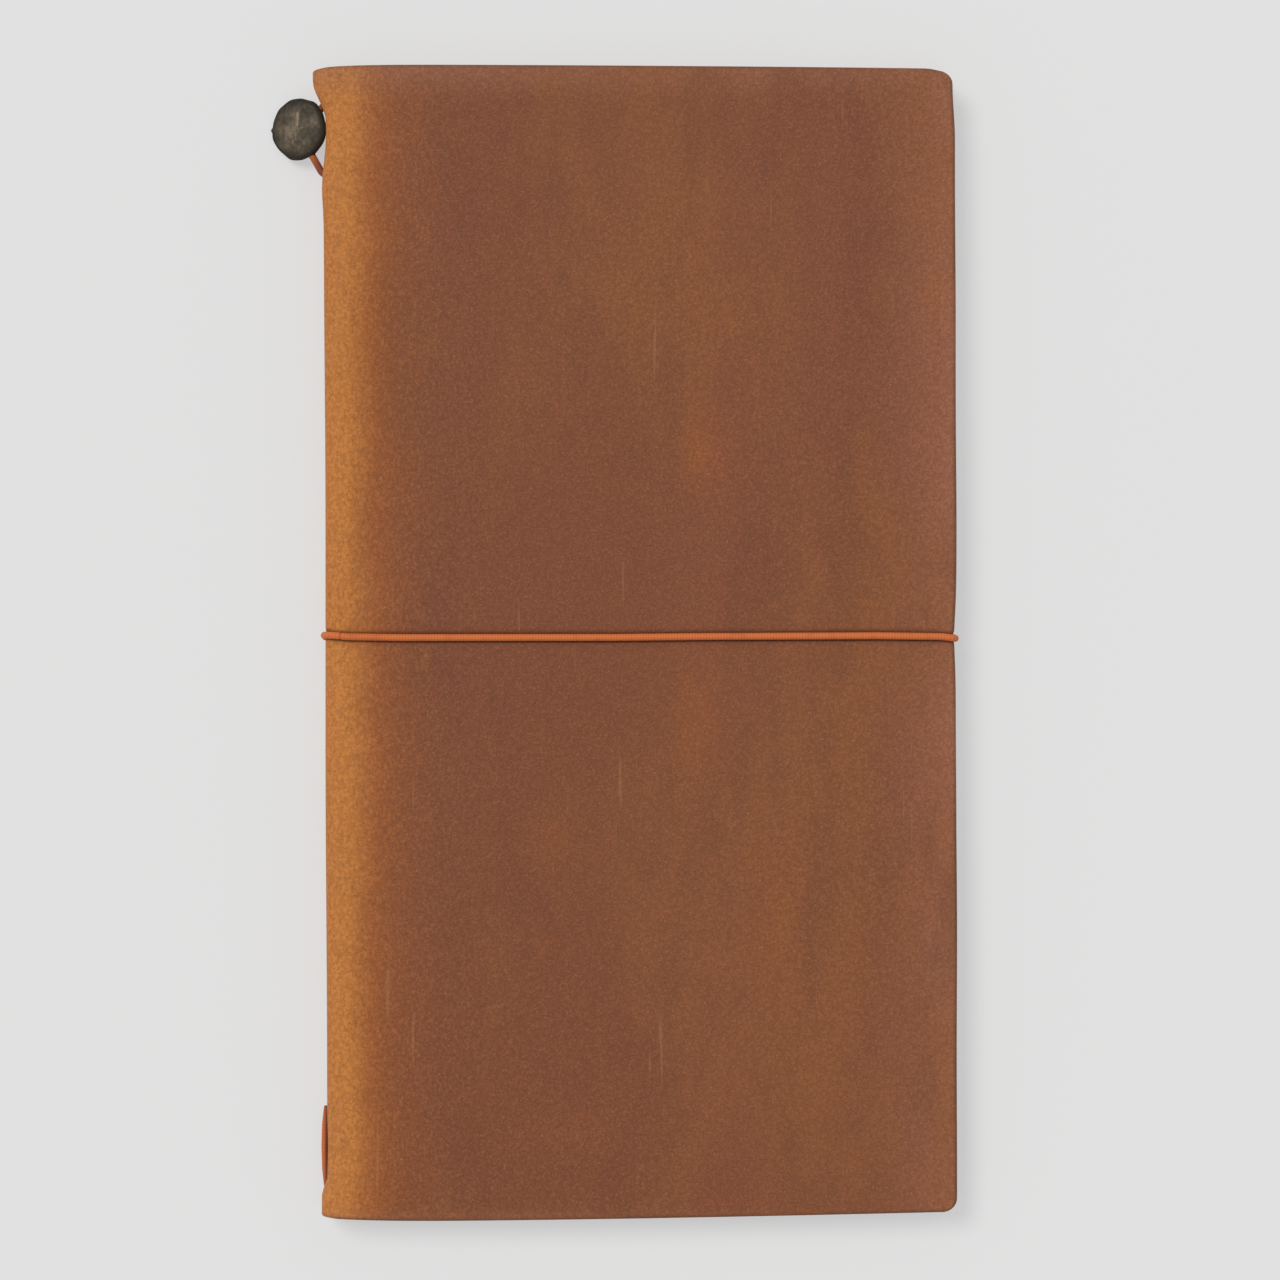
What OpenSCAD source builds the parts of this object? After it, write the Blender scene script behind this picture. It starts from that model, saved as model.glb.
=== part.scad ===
// A soft leather notebook cover, lying closed on its back panel. One hide is folded twice round a
// spine. A round elastic runs through the spine holes and holds a stapled paper refill, and its
// two ends are crimped in a tin clasp. A second round elastic loops round the closed cover.
// +X points from the spine to the fore-edge, +Y from tail to head, +Z up from the table.

/* [Leather] */
// Length of the cover, tail to head
cover_l = 220; // [160:1:300]
// Width of the closed cover, spine to fore-edge
cover_w = 120; // [90:1:180]
// Thickness of the leather
leather_t = 2; // [1.5:0.1:2.4]
// Outer radius of the leather at its two folds
fold_r = 3; // [2.9:0.1:3.6]
// Radius of the rounded corners at the fore-edge
corner_r = 3.2; // [1:0.1:12]
// How much shorter each end is at the fore-edge than at the spine
taper = 1.2; // [0:0.1:3]

/* [Refill] */
// Length of the refill, tail to head
refill_l = 210; // [150:1:290]
// Width of the refill, from its fold to its fore-edge
refill_w = 110; // [80:1:170]
// Thickness of one half of the folded sheets
half_t = 2.05; // [1.9:0.05:3]
// Thickness of the kraft paper cover
kraft_t = 0.25; // [0.2:0.05:0.5]
// Radius of the hollow left inside the innermost fold
gutter_r = 1.05; // [1.02:0.01:1.2]
// Diameter of the staple wire
wire_d = 0.5; // [0.4:0.05:0.6]
// Length of a staple's crown
crown_l = 12; // [8:0.5:16]
// Length of each turned-in point of a staple
point_l = 4.8; // [3:0.1:5]
// Distance from the refill's middle to each staple
staple_y = 52; // [20:1:70]

/* [Elastics] */
// Diameter of the closure elastic
band_d = 1.4; // [1:0.1:1.6]
// Diameter of the spine elastic
cord_d = 1.4; // [1:0.1:1.5]
// How deep the closure elastic presses into the face of the leather
press = 0.2; // [0:0.05:0.4]
// How deep it presses into the cut edges at the fore-edge
edge_press = 0.7; // [0.2:0.1:0.9]
// Height of the closure elastic above the middle of the cover
band_y = 1.2; // [-20:0.1:20]
// Diameter of the four spine holes of the spine elastic
hole_d = 2.4; // [2:0.1:3]
// Diameter of the hole in the middle of the spine
band_hole_d = 3.3; // [3.1:0.1:4]
// Distance from the head to the upper spine hole
hole_a = 6.9; // [6.6:0.1:8]
// Distance from the head to the lower head hole
hole_b = 20.5; // [18:0.5:30]
// Distance from the tail to the upper tail hole
hole_c = 21.6; // [18:0.5:30]
// Distance from the tail to the lower tail hole
hole_d_y = 6.3; // [5.8:0.1:7]

/* [Clasp] */
// Size of the clasp away from the spine
clasp_w = 11.2; // [8:0.1:14]
// Size of the clasp along the spine
clasp_l = 11.7; // [8:0.1:14]
// Thickness of the clasp in its middle
clasp_t = 3; // [2:0.1:4]
// Thickness of the clasp at its rim
rim_t = 1; // [0.6:0.1:1.6]
// Distance from the head to the middle of the clasp
clasp_y = 11.5; // [10:0.1:14]

/* [Fits] */
// Gap between the leather parts at a fold
fold_gap = 0.1; // [0.05:0.05:0.2]
// Gap between the closure elastic and its bed in the leather
bed_gap = 0.1; // [0.05:0.05:0.2]
// Gap between one group of leaves and the next
leaf_gap = 0.02; // [0.01:0.01:0.05]
// Gap between an elastic and the parts beside it
cord_gap = 0.1; // [0.05:0.05:0.2]
// Gap between the spine and the inner edge of the clasp
clasp_gap = 0.6; // [0.5:0.1:2]

/* [Hidden] */

eps = 0.01;
far = 400;
sides = 8;
hide = "#9c6236";
kraft = "#a98459";
paper = "#eee6d2";
orange = "#c96a30";
pewter = "#6b655a";
groups = 3;

// Heights. The closure elastic lies on the table, and the back panel on the elastic.
band_r = band_d / 2;
cord_r = cord_d / 2;
base_z = band_d - press;
inner_t = 2 * (half_t + kraft_t);
cover_t = 2 * leather_t + inner_t;
mid_z = base_z + cover_t / 2;
top_z = base_z + cover_t;

// Places along the spine.
half_l = cover_l / 2;
y_a = half_l - hole_a;
y_b = half_l - hole_b;
y_c = -half_l + hole_c;
y_d = -half_l + hole_d_y;

// The fold of the refill is a half round about the gutter line. Between it and the leather lie
// the knot and the inner stretch of the spine elastic. The paper bends as far as leaf_x, and the
// leaves are stiff from there to their fore-edge.
fold_room = 3.4;
gutter_x = leather_t + fold_room + half_t + kraft_t;
bend_l = 2.4;
leaf_x = gutter_x + bend_l;
refill_end = leather_t + fold_room + refill_w;
leaf_t = half_t / groups;
leaf_trim = 0.5;
gutter_cord = 0.35;
gutter_turn = 1.2;
inside_x = leather_t + 0.9;
inside_z = base_z + max(fold_r, leather_t + cord_r + cord_gap);
turn_y = max(refill_l / 2 + gutter_turn, y_b + cord_d + cord_gap, -y_c + cord_d + cord_gap);
inside_bend = 7;

// Clasp: it leans from the spine down to the table, about the line through the head holes.
rim_reach = clasp_gap + clasp_w;
lean = asin((mid_z - eps) / norm([rim_reach, rim_t / 2])) - atan(rim_t / 2 / rim_reach);
clasp_mid = clasp_gap + clasp_w / 2;
clasp_low = 0.5;
dent_r = 1.6;
dent_out = 0.53;

// The model's origin is under the middle of its box.
band_out = band_r - edge_press;
x_min = -rim_reach * cos(lean) - rim_t / 2 * sin(lean);
x_max = cover_w + band_out + band_r;
shift = -(x_min + x_max) / 2;

// Centre line of the closure elastic. It lies in a plane across the cover.
bed_z = top_z + band_r - press;
under_z = band_r;
edge_x = cover_w + band_out;
hook_x = -(band_r - press);
hook_r = fold_r + 0.3;
mouth_r = 0.6;
edge_r = 1.2;
edge_back = 0.3;
bed_wide = 1.3;
hook_line = [for (s = [1, -1]) mid_z + s * (band_r + 2 * eps)];

// The knot: how far its middle lies above the middle of the spine, and its own sizes.
knot_up = 0.85;
knot_t = 3;
knot_r = 1.2;
knot_spread = 1.1;
knot_tilt = 0.15;
knot_core = 0.8;

// Where cords end inside the leather, on the side that the clasp's cords enter.
cord_in = 0.6;

// Arc points that round a corner at p between a and b with radius r.
function unit(v) = v / norm(v);
function slerp(a, b, k, w) = (sin((1 - k) * w) * a + sin(k * w) * b) / sin(w);
function corner(a, p, b, r, n) =
    let (u = unit(a - p), v = unit(b - p))
    let (w = 180 - acos(u * v), reach = r * tan(w / 2))
    let (c = p + unit(u + v) * r / cos(w / 2))
    [for (k = [0:n]) c + slerp(p + u * reach - c, p + v * reach - c, k / n, w)];

// A line through the given points with each inner one rounded. Radii has one value a point.
function route(p, radii, n = 6) = [
    p[0],
    for (i = [1:len(p) - 2]) each corner(p[i - 1], p[i], p[i + 1], radii[i], n),
    p[len(p) - 1]];

// Round cord of diameter d along a line whose direction is never along side.
module cord(line, d, side) {
    last = len(line) - 1;
    run = [for (i = [0:last]) unit(line[min(i + 1, last)] - line[max(i - 1, 0)])];
    rings = [for (i = [0:last])
        let (u = unit(cross(run[i], side)), v = cross(run[i], u))
        for (k = [0:sides - 1])
            line[i] + d / 2 * (cos(360 * k / sides) * u + sin(360 * k / sides) * v)];
    walls = [for (i = [0:last - 1], k = [0:sides - 1])
        let (a = i * sides + k, b = i * sides + (k + 1) % sides)
        each [[a, a + sides, b + sides], [a, b + sides, b]]];
    ends = [[for (k = [0:sides - 1]) k], [for (k = [sides - 1:-1:0]) last * sides + k]];
    translate([shift, 0, 0]) polyhedron(rings, concat(walls, ends), convexity = 8);
}

// Moves a shape drawn with x across, y up and z along the cover into its place.
module along(length) {
    translate([shift, length / 2, 0]) rotate([90, 0, 0]) linear_extrude(length) children();
}

// Box of leaves or card between two heights, from x1 to the refill's fore-edge.
module slab(x1, z1, z2, trim = 0) {
    translate([shift + x1, -refill_l / 2 + trim, z1])
        cube([refill_end - trim - x1, refill_l - 2 * trim, z2 - z1]);
}

// Section of the folded hide, inset from its outer face.
module section(inset, reach) {
    r = fold_r - inset;
    for (z = [base_z + fold_r, top_z - fold_r]) translate([fold_r, z]) circle(r, $fn = 64);
    translate([inset, base_z + fold_r]) square([reach - inset, cover_t - 2 * fold_r]);
    translate([fold_r, base_z + inset]) square([reach - fold_r, cover_t - 2 * inset]);
}

module hide_section() {
    difference() {
        section(0, cover_w);
        section(leather_t, cover_w + eps);
    }
}

// Half plane on the front cover's side of the upper fold, and its mirror image at the lower fold.
module beyond_fold(z, s, gap) {
    d = gap / sqrt(2);
    translate([fold_r, z])
        polygon([
            [d - far, s * (far + d)], [d, s * d], [far, s * d],
            [far, s * far * 2], [d - far, s * far * 2]]);
}

// Outline of a panel seen from above, narrower towards the fore-edge.
module outline() {
    e = half_l - taper;
    p = [[-far, -half_l], [0, -half_l], [cover_w, -e], [cover_w, e], [0, half_l], [-far, half_l]];
    translate([shift, 0]) polygon(route(p, [0, eps, corner_r, corner_r, eps, 0]));
}

// Room that the closure elastic presses into the leather, all the way round. It is wider than it
// is deep, so the leather clears the elastic on both sides.
module band_bed() {
    r = band_r + bed_gap;
    translate([shift, band_y, 0]) scale([1, bed_wide, 1]) {
        for (z = [bed_z, under_z]) translate([hook_x + hook_r, 0, z]) rotate([0, 90, 0])
            cylinder(h = edge_x - edge_r - hook_x - hook_r, r = r, $fn = 32);
        translate([hook_x, 0, under_z + hook_r])
            cylinder(h = bed_z - under_z - 2 * hook_r, r = r, $fn = 32);
        translate([edge_x, 0, under_z + edge_r])
            cylinder(h = bed_z - under_z - 2 * edge_r, r = r, $fn = 32);
        for (s = [0, 1]) {
            z = s == 0 ? bed_z : under_z;
            turn(hook_x + hook_r, z - (1 - 2 * s) * hook_r, hook_r, r, 90 + 90 * s);
            turn(edge_x - edge_r, z - (1 - 2 * s) * edge_r, edge_r, r, 270 * s);
        }
    }
}

// Quarter ring in the plane across the cover, from the given angle.
module turn(x, z, ring_r, r, from) {
    translate([x, 0, z]) rotate([90, 0, 0]) rotate([0, 0, from])
        rotate_extrude(angle = 90, $fn = 48) translate([ring_r, 0]) circle(r, $fn = 32);
}

module front_cover() {
    color(hide) difference() {
        intersection() {
            along(cover_l) intersection() {
                hide_section();
                beyond_fold(top_z - fold_r, 1, fold_gap);
            }
            linear_extrude(far) outline();
        }
        band_bed();
    }
}

module back_cover() {
    color(hide) difference() {
        intersection() {
            along(cover_l) intersection() {
                hide_section();
                beyond_fold(base_z + fold_r, -1, fold_gap);
            }
            linear_extrude(far) outline();
        }
        band_bed();
    }
}

module spine() {
    color(hide) difference() {
        along(cover_l) difference() {
            hide_section();
            beyond_fold(top_z - fold_r, 1, 0);
            beyond_fold(base_z + fold_r, -1, 0);
        }
        for (y = [y_a, y_b, y_c, y_d]) spine_hole(y, hole_d);
        spine_hole(band_y, band_hole_d);
        band_bed();
    }
}

module spine_hole(y, d) {
    translate([shift - leather_t, y, mid_z]) rotate([0, 90, 0])
        cylinder(h = 3 * leather_t, d = d, $fn = 32);
}

// Half of the refill's paper cover, on the upper or lower face of the sheets.
module refill_cover(s) {
    z = mid_z + s * (half_t + kraft_t / 2);
    color(kraft) slab(leaf_x, z - kraft_t / 2 + leaf_gap, z + kraft_t / 2 - leaf_gap);
}

// Half round fold about the gutter line, between two radii, with both of its straight sides.
module fold(r1, r2) {
    along(refill_l) difference() {
        fold_section(r2, bend_l - leaf_gap);
        fold_section(r1, far);
    }
}

module fold_section(r, reach) {
    translate([gutter_x, mid_z]) {
        circle(r, $fn = 64);
        translate([0, -r]) square([reach, 2 * r]);
    }
}

// Holes that the two staples pass through, and the slots their crowns press into the card.
module staple_holes() {
    d = wire_d + 2 * leaf_gap;
    for (y = [staple_y, -staple_y]) translate([shift, y, mid_z]) {
        for (s = [1, -1]) translate([0, s * crown_l / 2, 0]) rotate([0, 90, 0])
            cylinder(h = gutter_x, d = d, $fn = 24);
        translate([0, -crown_l / 2, -d / 2]) cube([gutter_x - half_t, crown_l, d]);
    }
}

module refill_cover_front() { refill_cover(1); }
module refill_cover_back() { refill_cover(-1); }

module refill_cover_fold() {
    color(kraft) difference() {
        fold(half_t + leaf_gap, half_t + kraft_t - leaf_gap);
        staple_holes();
    }
}

module sheet_folds() {
    color(paper) difference() {
        fold(gutter_r, half_t - leaf_gap);
        staple_holes();
    }
}

// One group of leaves, counted out from the middle of the refill.
module leaves(i, s) {
    z1 = mid_z + s * ((i - 1) * leaf_t + leaf_gap);
    z2 = mid_z + s * (i * leaf_t - leaf_gap);
    color(paper) slab(leaf_x, min(z1, z2), max(z1, z2), leaf_trim);
}

// Wire staple: its crown lies in the card, and its points turn in along the gutter.
module staple(y) {
    out_x = gutter_x - half_t - wire_d / 2;
    in_x = gutter_x - gutter_r + wire_d / 2;
    e = crown_l / 2;
    tip = e - point_l;
    bend = wire_d * 0.6;
    p = [[in_x, -tip, mid_z], [in_x, -e, mid_z], [out_x, -e, mid_z],
        [out_x, e, mid_z], [in_x, e, mid_z], [in_x, tip, mid_z]];
    translate([0, y, 0]) color("silver")
        cord(route(p, [0, bend, bend, bend, bend, 0], 4), wire_d, [0, 0, 1]);
}

module staple_head() { staple(staple_y); }
module staple_tail() { staple(-staple_y); }

// The stretch in the gutter, from the upper head hole round both ends of the refill to the tail.
module gutter_elastic() {
    x1 = inside_x;
    x2 = gutter_x + gutter_cord;
    y = turn_y;
    b = cord_r + 4 * cord_gap;
    p = [[cord_in, y_a, mid_z], [x1, y_a, mid_z], [x1, y, mid_z], [x2, y, mid_z],
        [x2, -y, mid_z], [x1, -y, mid_z], [x1, y_d, mid_z], [0, y_d, mid_z]];
    color(orange) cord(route(p, [0, b, b, b, b, b, b, 0]), cord_d, [0, 0, 1]);
}

// The stretch along the inside of the spine, from the lower head hole to the upper tail hole.
module spine_elastic() {
    x = inside_x;
    z = inside_z;
    b = cord_r + cord_gap;
    p = [[cord_in, y_b, mid_z], [x, y_b, mid_z], [x, y_b - inside_bend, z],
        [x, y_c + inside_bend, z], [x, y_c, mid_z], [0, y_c, mid_z]];
    color(orange) cord(route(p, [0, b, 2 * fold_r, 2 * fold_r, b, 0]), cord_d, [0, 0.1, 1]);
}

// The short stretch outside the spine between the two tail holes.
module tail_elastic() {
    x = -cord_r - cord_gap;
    b = cord_r + cord_gap / 2;
    p = [[0, y_c, mid_z], [x, y_c, mid_z], [x, y_d, mid_z], [0, y_d, mid_z]];
    color(orange) cord(route(p, [0, b, b, 0]), cord_d, [0, 0, 1]);
}

// Turns a shape drawn flat at the hinge line of the clasp to where the clasp leans.
module leaning() {
    translate([shift, 0, mid_z]) rotate([0, -lean, 0]) children();
}

// The two ends of the spine elastic, from the head holes into the clasp.
function clasp_ends(s) = s > 0
    ? [[-eps, y_a, -clasp_low], [-0.9, y_a, -clasp_low], [-3.9, y_a - 3.2, -clasp_low]]
    : [[-eps, y_b, -clasp_low], [-1.2, y_b, -clasp_low], [-4.8, y_b + 6, -clasp_low]];

module clasp_elastic() {
    color(orange) for (s = [1, -1])
        leaning() translate([-shift, 0, 0]) cord(route(clasp_ends(s), [0, 1, 0]), cord_d, [0, 0, 1]);
}

module clasp() {
    y = half_l - clasp_y;
    color(pewter) difference() {
        leaning() translate([-clasp_mid, y, 0]) difference() {
            hull() {
                clasp_disc(1, rim_t, 14);
                clasp_disc(0.82, clasp_t * 0.75, 14);
                clasp_disc(0.55, clasp_t, 12);
            }
            for (a = [20, 140, 260]) rotate([0, 0, a])
                translate([clasp_w * dent_out, 0, clasp_t / 2]) sphere(dent_r, $fn = 24);
        }
        for (s = [1, -1]) leaning() clasp_bore(clasp_ends(s)[1], clasp_ends(s)[2]);
    }
}

// Flat round piece of the clasp, k times its full size.
module clasp_disc(k, t, n) {
    scale([clasp_w / clasp_l, 1, 1]) cylinder(h = t, d = clasp_l * k, center = true, $fn = n * 2);
}

// Channel in the clasp that an end of the elastic lies in.
module clasp_bore(p, q) {
    v = unit(q - p);
    translate(p) rotate([0, 90, atan2(v[1], v[0])])
        cylinder(h = norm(q - p) + cord_gap, r = cord_r + cord_gap, $fn = 32);
}

module closure_band_front() {
    p = [[hook_x + hook_r, band_y, bed_z], [edge_x, band_y, bed_z],
        [edge_x, band_y, under_z], [edge_x - edge_r - edge_back, band_y, under_z]];
    color(orange) cord(route(p, [0, edge_r, edge_r, 0]), band_d, [0, 1, 0]);
}

module closure_band_back() {
    p = [[hook_x + hook_r, band_y, under_z], [edge_x - edge_r - edge_back, band_y, under_z]];
    color(orange) cord(p, band_d, [0, 1, 0]);
}

// Both ends of the closure elastic, from the two folds into the hole in the middle of the spine.
module closure_band_hook() {
    color(orange) for (i = [0, 1]) {
        z = i == 0 ? bed_z : under_z;
        p = [[hook_x + hook_r, band_y, z], [hook_x, band_y, z],
            [hook_x, band_y, hook_line[i]], [leather_t, band_y, hook_line[i]]];
        cord(route(p, [0, hook_r - 2 * eps, mouth_r, 0]), band_d, [0, 1, 0]);
    }
}

// The two ends are tied in a knot on the inside of the spine.
module closure_band_knot() {
    x = leather_t + cord_gap + knot_t / 2;
    color(orange) translate([shift + x, band_y, mid_z + knot_up]) hull() {
        for (s = [1, -1]) translate([0, s * knot_spread, -s * knot_tilt]) sphere(knot_r, $fn = 24);
        rotate([0, 90, 0]) cylinder(h = knot_t, r = knot_core, center = true, $fn = 24);
    }
}

module front_leaves_1() { leaves(1, 1); }
module front_leaves_2() { leaves(2, 1); }
module front_leaves_3() { leaves(3, 1); }
module back_leaves_1() { leaves(1, -1); }
module back_leaves_2() { leaves(2, -1); }
module back_leaves_3() { leaves(3, -1); }

front_cover();
spine();
back_cover();
refill_cover_front();
refill_cover_back();
refill_cover_fold();
front_leaves_1();
front_leaves_2();
front_leaves_3();
back_leaves_1();
back_leaves_2();
back_leaves_3();
sheet_folds();
staple_head();
staple_tail();
gutter_elastic();
spine_elastic();
tail_elastic();
clasp_elastic();
clasp();
closure_band_front();
closure_band_back();
closure_band_hook();
closure_band_knot();
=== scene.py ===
"""A narrow leather notebook cover, closed round its paper refill and lying on its back panel.

Lengths are in millimetres until a mesh is made; the frame itself is in metres.
+X points from the spine to the fore-edge, +Y from tail to head, +Z up.
"""
import math

import bpy
import numpy as np
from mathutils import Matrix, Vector, noise


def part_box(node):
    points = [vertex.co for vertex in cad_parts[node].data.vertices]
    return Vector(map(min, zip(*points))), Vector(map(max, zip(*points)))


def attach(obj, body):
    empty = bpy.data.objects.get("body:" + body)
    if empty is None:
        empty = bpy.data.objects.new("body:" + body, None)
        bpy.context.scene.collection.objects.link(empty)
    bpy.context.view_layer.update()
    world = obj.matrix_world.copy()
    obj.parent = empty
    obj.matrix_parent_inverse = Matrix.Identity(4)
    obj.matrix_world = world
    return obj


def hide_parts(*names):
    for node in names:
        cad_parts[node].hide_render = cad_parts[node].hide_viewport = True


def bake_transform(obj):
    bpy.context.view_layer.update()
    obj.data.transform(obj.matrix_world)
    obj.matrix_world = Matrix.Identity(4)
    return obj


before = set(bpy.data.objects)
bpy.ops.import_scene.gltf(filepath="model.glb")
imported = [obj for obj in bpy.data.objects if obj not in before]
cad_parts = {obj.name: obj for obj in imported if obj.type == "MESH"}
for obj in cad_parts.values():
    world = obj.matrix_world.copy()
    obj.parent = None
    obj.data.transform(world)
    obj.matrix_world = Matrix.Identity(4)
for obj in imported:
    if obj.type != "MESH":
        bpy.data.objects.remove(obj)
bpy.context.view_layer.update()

MM = 0.001


# ---------------------------------------------------------------- places from the frame

def box_mm(node):
    """Lowest and highest corner of a node, in millimetres."""
    low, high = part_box(node)
    return Vector(low) / MM, Vector(high) / MM


spine_low = box_mm("spine")[0]
front_high = box_mm("front_cover")[1]
back_low = box_mm("back_cover")[0]
refill_high = box_mm("refill_cover_back")[1]
fold_low, fold_high = box_mm("refill_cover_fold")
leaf_low = box_mm("back_leaves_1")[0]
hook_low = box_mm("closure_band_hook")[0]
under_low, under_high = box_mm("closure_band_back")
over_high = box_mm("closure_band_front")[1]
tail_low, tail_high = box_mm("tail_elastic")
gutter_high = box_mm("gutter_elastic")[1]
inner_low, inner_high = box_mm("spine_elastic")
clasp_low, clasp_high = box_mm("clasp")

SPINE_X = spine_low.x
EDGE_X = front_high.x
HALF_L = front_high.y
TOP_Z = front_high.z
BASE_Z = back_low.z
MID_Z = (TOP_Z + BASE_Z) / 2
LEATHER = 2.0            # thickness of the hide
FOLD_R = 3.0             # outer radius of the hide's folds
BAND_D = under_high.z - under_low.z
BAND_Y = (under_low.y + under_high.y) / 2
CORD_D = tail_high.z - tail_low.z
FOLD_OUT_R = (fold_high.z - fold_low.z) / 2
GUTTER_X = fold_low.x + FOLD_OUT_R
LEAF_X = leaf_low.x


# ---------------------------------------------------------------- camera, floor and light

PLATE_W = 243.3          # width of the view at the height of the front cover
LENS = 120.0
SENSOR = 36.0

camera_data = bpy.data.cameras.new("camera")
camera_data.lens = LENS
camera_data.sensor_width = SENSOR
camera_data.clip_start, camera_data.clip_end = 0.01, 10.0
camera = bpy.data.objects.new("camera", camera_data)
bpy.context.collection.objects.link(camera)
camera.location = Vector((SPINE_X + 59.7, 0.6, TOP_Z + PLATE_W * LENS / SENSOR)) * MM
bpy.context.scene.camera = camera

scene = bpy.context.scene
scene.view_settings.view_transform = "Standard"
scene.view_settings.look = "None"


def linear(hex_code, alpha=1.0):
    """sRGB hex to the linear colour that a shader takes."""
    parts = [int(hex_code[i:i + 2], 16) / 255 for i in (1, 3, 5)]
    parts = [c / 12.92 if c <= 0.04045 else ((c + 0.055) / 1.055) ** 2.4 for c in parts]
    return (*parts, alpha)


def sun(name, direction, strength, spread, colour):
    data = bpy.data.lights.new(name, "SUN")
    data.energy = strength
    data.angle = math.radians(spread)
    data.color = linear(colour)[:3]
    lamp = bpy.data.objects.new(name, data)
    bpy.context.collection.objects.link(lamp)
    lamp.rotation_mode = "QUATERNION"
    lamp.rotation_quaternion = Vector(direction).to_track_quat("-Z", "Y")
    return lamp


sun("window", (0.44, -0.42, -1.0), 1.7, 24, "#FFFDF8")

world = bpy.data.worlds.new("studio")
world.use_nodes = True
scene.world = world
world.node_tree.nodes["Background"].inputs["Color"].default_value = linear("#FAFBFF")
world.node_tree.nodes["Background"].inputs["Strength"].default_value = 0.52


# ---------------------------------------------------------------- small node helper

def plug(tree, node, **links):
    """Gives each named input a value, or links it to a socket. The name i0 is the first input."""
    for key, value in links.items():
        numbered = key[0] == "i" and key[1:].isdigit()
        socket = node.inputs[int(key[1:]) if numbered else key.replace("_", " ")]
        if isinstance(value, bpy.types.NodeSocket):
            tree.links.new(value, socket)
        else:
            socket.default_value = value
    return node


def add(tree, kind, settings=None, **links):
    """Adds a node. Settings name properties, and links name inputs."""
    node = tree.nodes.new(kind)
    for key, value in (settings or {}).items():
        setattr(node, key, value)
    return plug(tree, node, **links)


def new_material(name):
    """Material with its node tree, its shader, and the place on the object that patterns follow."""
    material = bpy.data.materials.new(name)
    material.use_nodes = True
    tree = material.node_tree
    place = add(tree, "ShaderNodeTexCoord").outputs["Object"]
    return material, tree, tree.nodes["Principled BSDF"], place


def ramp(tree, factor, stops):
    """Colour ramp through (position, hex) stops."""
    node = add(tree, "ShaderNodeValToRGB", i0=factor)
    elements = node.color_ramp.elements
    while len(elements) < len(stops):
        elements.new(0.5)
    for element, (position, colour) in zip(elements, stops):
        element.position = position
        element.color = linear(colour)
    return node.outputs["Color"]


def levels(tree, value, low, high, out_low=0.0, out_high=1.0):
    """Maps low..high to out_low..out_high, smoothly and clamped."""
    node = add(tree, "ShaderNodeMapRange", {"interpolation_type": "SMOOTHSTEP"}, Value=value)
    node.inputs["From Min"].default_value = low
    node.inputs["From Max"].default_value = high
    node.inputs["To Min"].default_value = out_low
    node.inputs["To Max"].default_value = out_high
    return node.outputs["Result"]


def mix(tree, factor, a, b, blend="MIX"):
    node = add(tree, "ShaderNodeMix", {"data_type": "RGBA", "blend_type": blend}, i0=factor)
    for index, value in ((6, a), (7, b)):
        if isinstance(value, bpy.types.NodeSocket):
            tree.links.new(value, node.inputs[index])
        else:
            node.inputs[index].default_value = value if len(value) == 4 else (*value, 1)
    return node.outputs[2]


def cells_per(size_mm):
    """Scale of a pattern on metres whose features are this many millimetres apart."""
    return 1 / (size_mm * MM)


def mottle(tree, place, size_mm, detail, roughness=0.5):
    """Cloudy noise whose patches are this many millimetres apart."""
    return add(tree, "ShaderNodeTexNoise", Vector=place, Scale=cells_per(size_mm), Detail=detail,
               Roughness=roughness).outputs["Fac"]


def stretched(tree, place, scale, turn=0.0):
    """Place turned about the upright axis and scaled: a small scale draws the pattern out."""
    return add(tree, "ShaderNodeMapping", Vector=place, Rotation=(0, 0, turn), Scale=scale).outputs[0]


def painted(tree, name):
    """Value painted on the mesh's points under this name."""
    return add(tree, "ShaderNodeAttribute", {"attribute_name": name}).outputs["Fac"]


def times(tree, a, b):
    return add(tree, "ShaderNodeMath", {"operation": "MULTIPLY"}, i0=a, i1=b).outputs[0]


def times_plus(tree, a, b, c):
    return add(tree, "ShaderNodeMath", {"operation": "MULTIPLY_ADD"}, i0=a, i1=b, i2=c).outputs[0]


def bump(tree, height, depth_mm, normal=None):
    node = add(tree, "ShaderNodeBump", Height=height, Strength=1.0, Distance=depth_mm * MM)
    if normal is not None:
        tree.links.new(normal, node.inputs["Normal"])
    return node.outputs["Normal"]


# ---------------------------------------------------------------- materials

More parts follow.
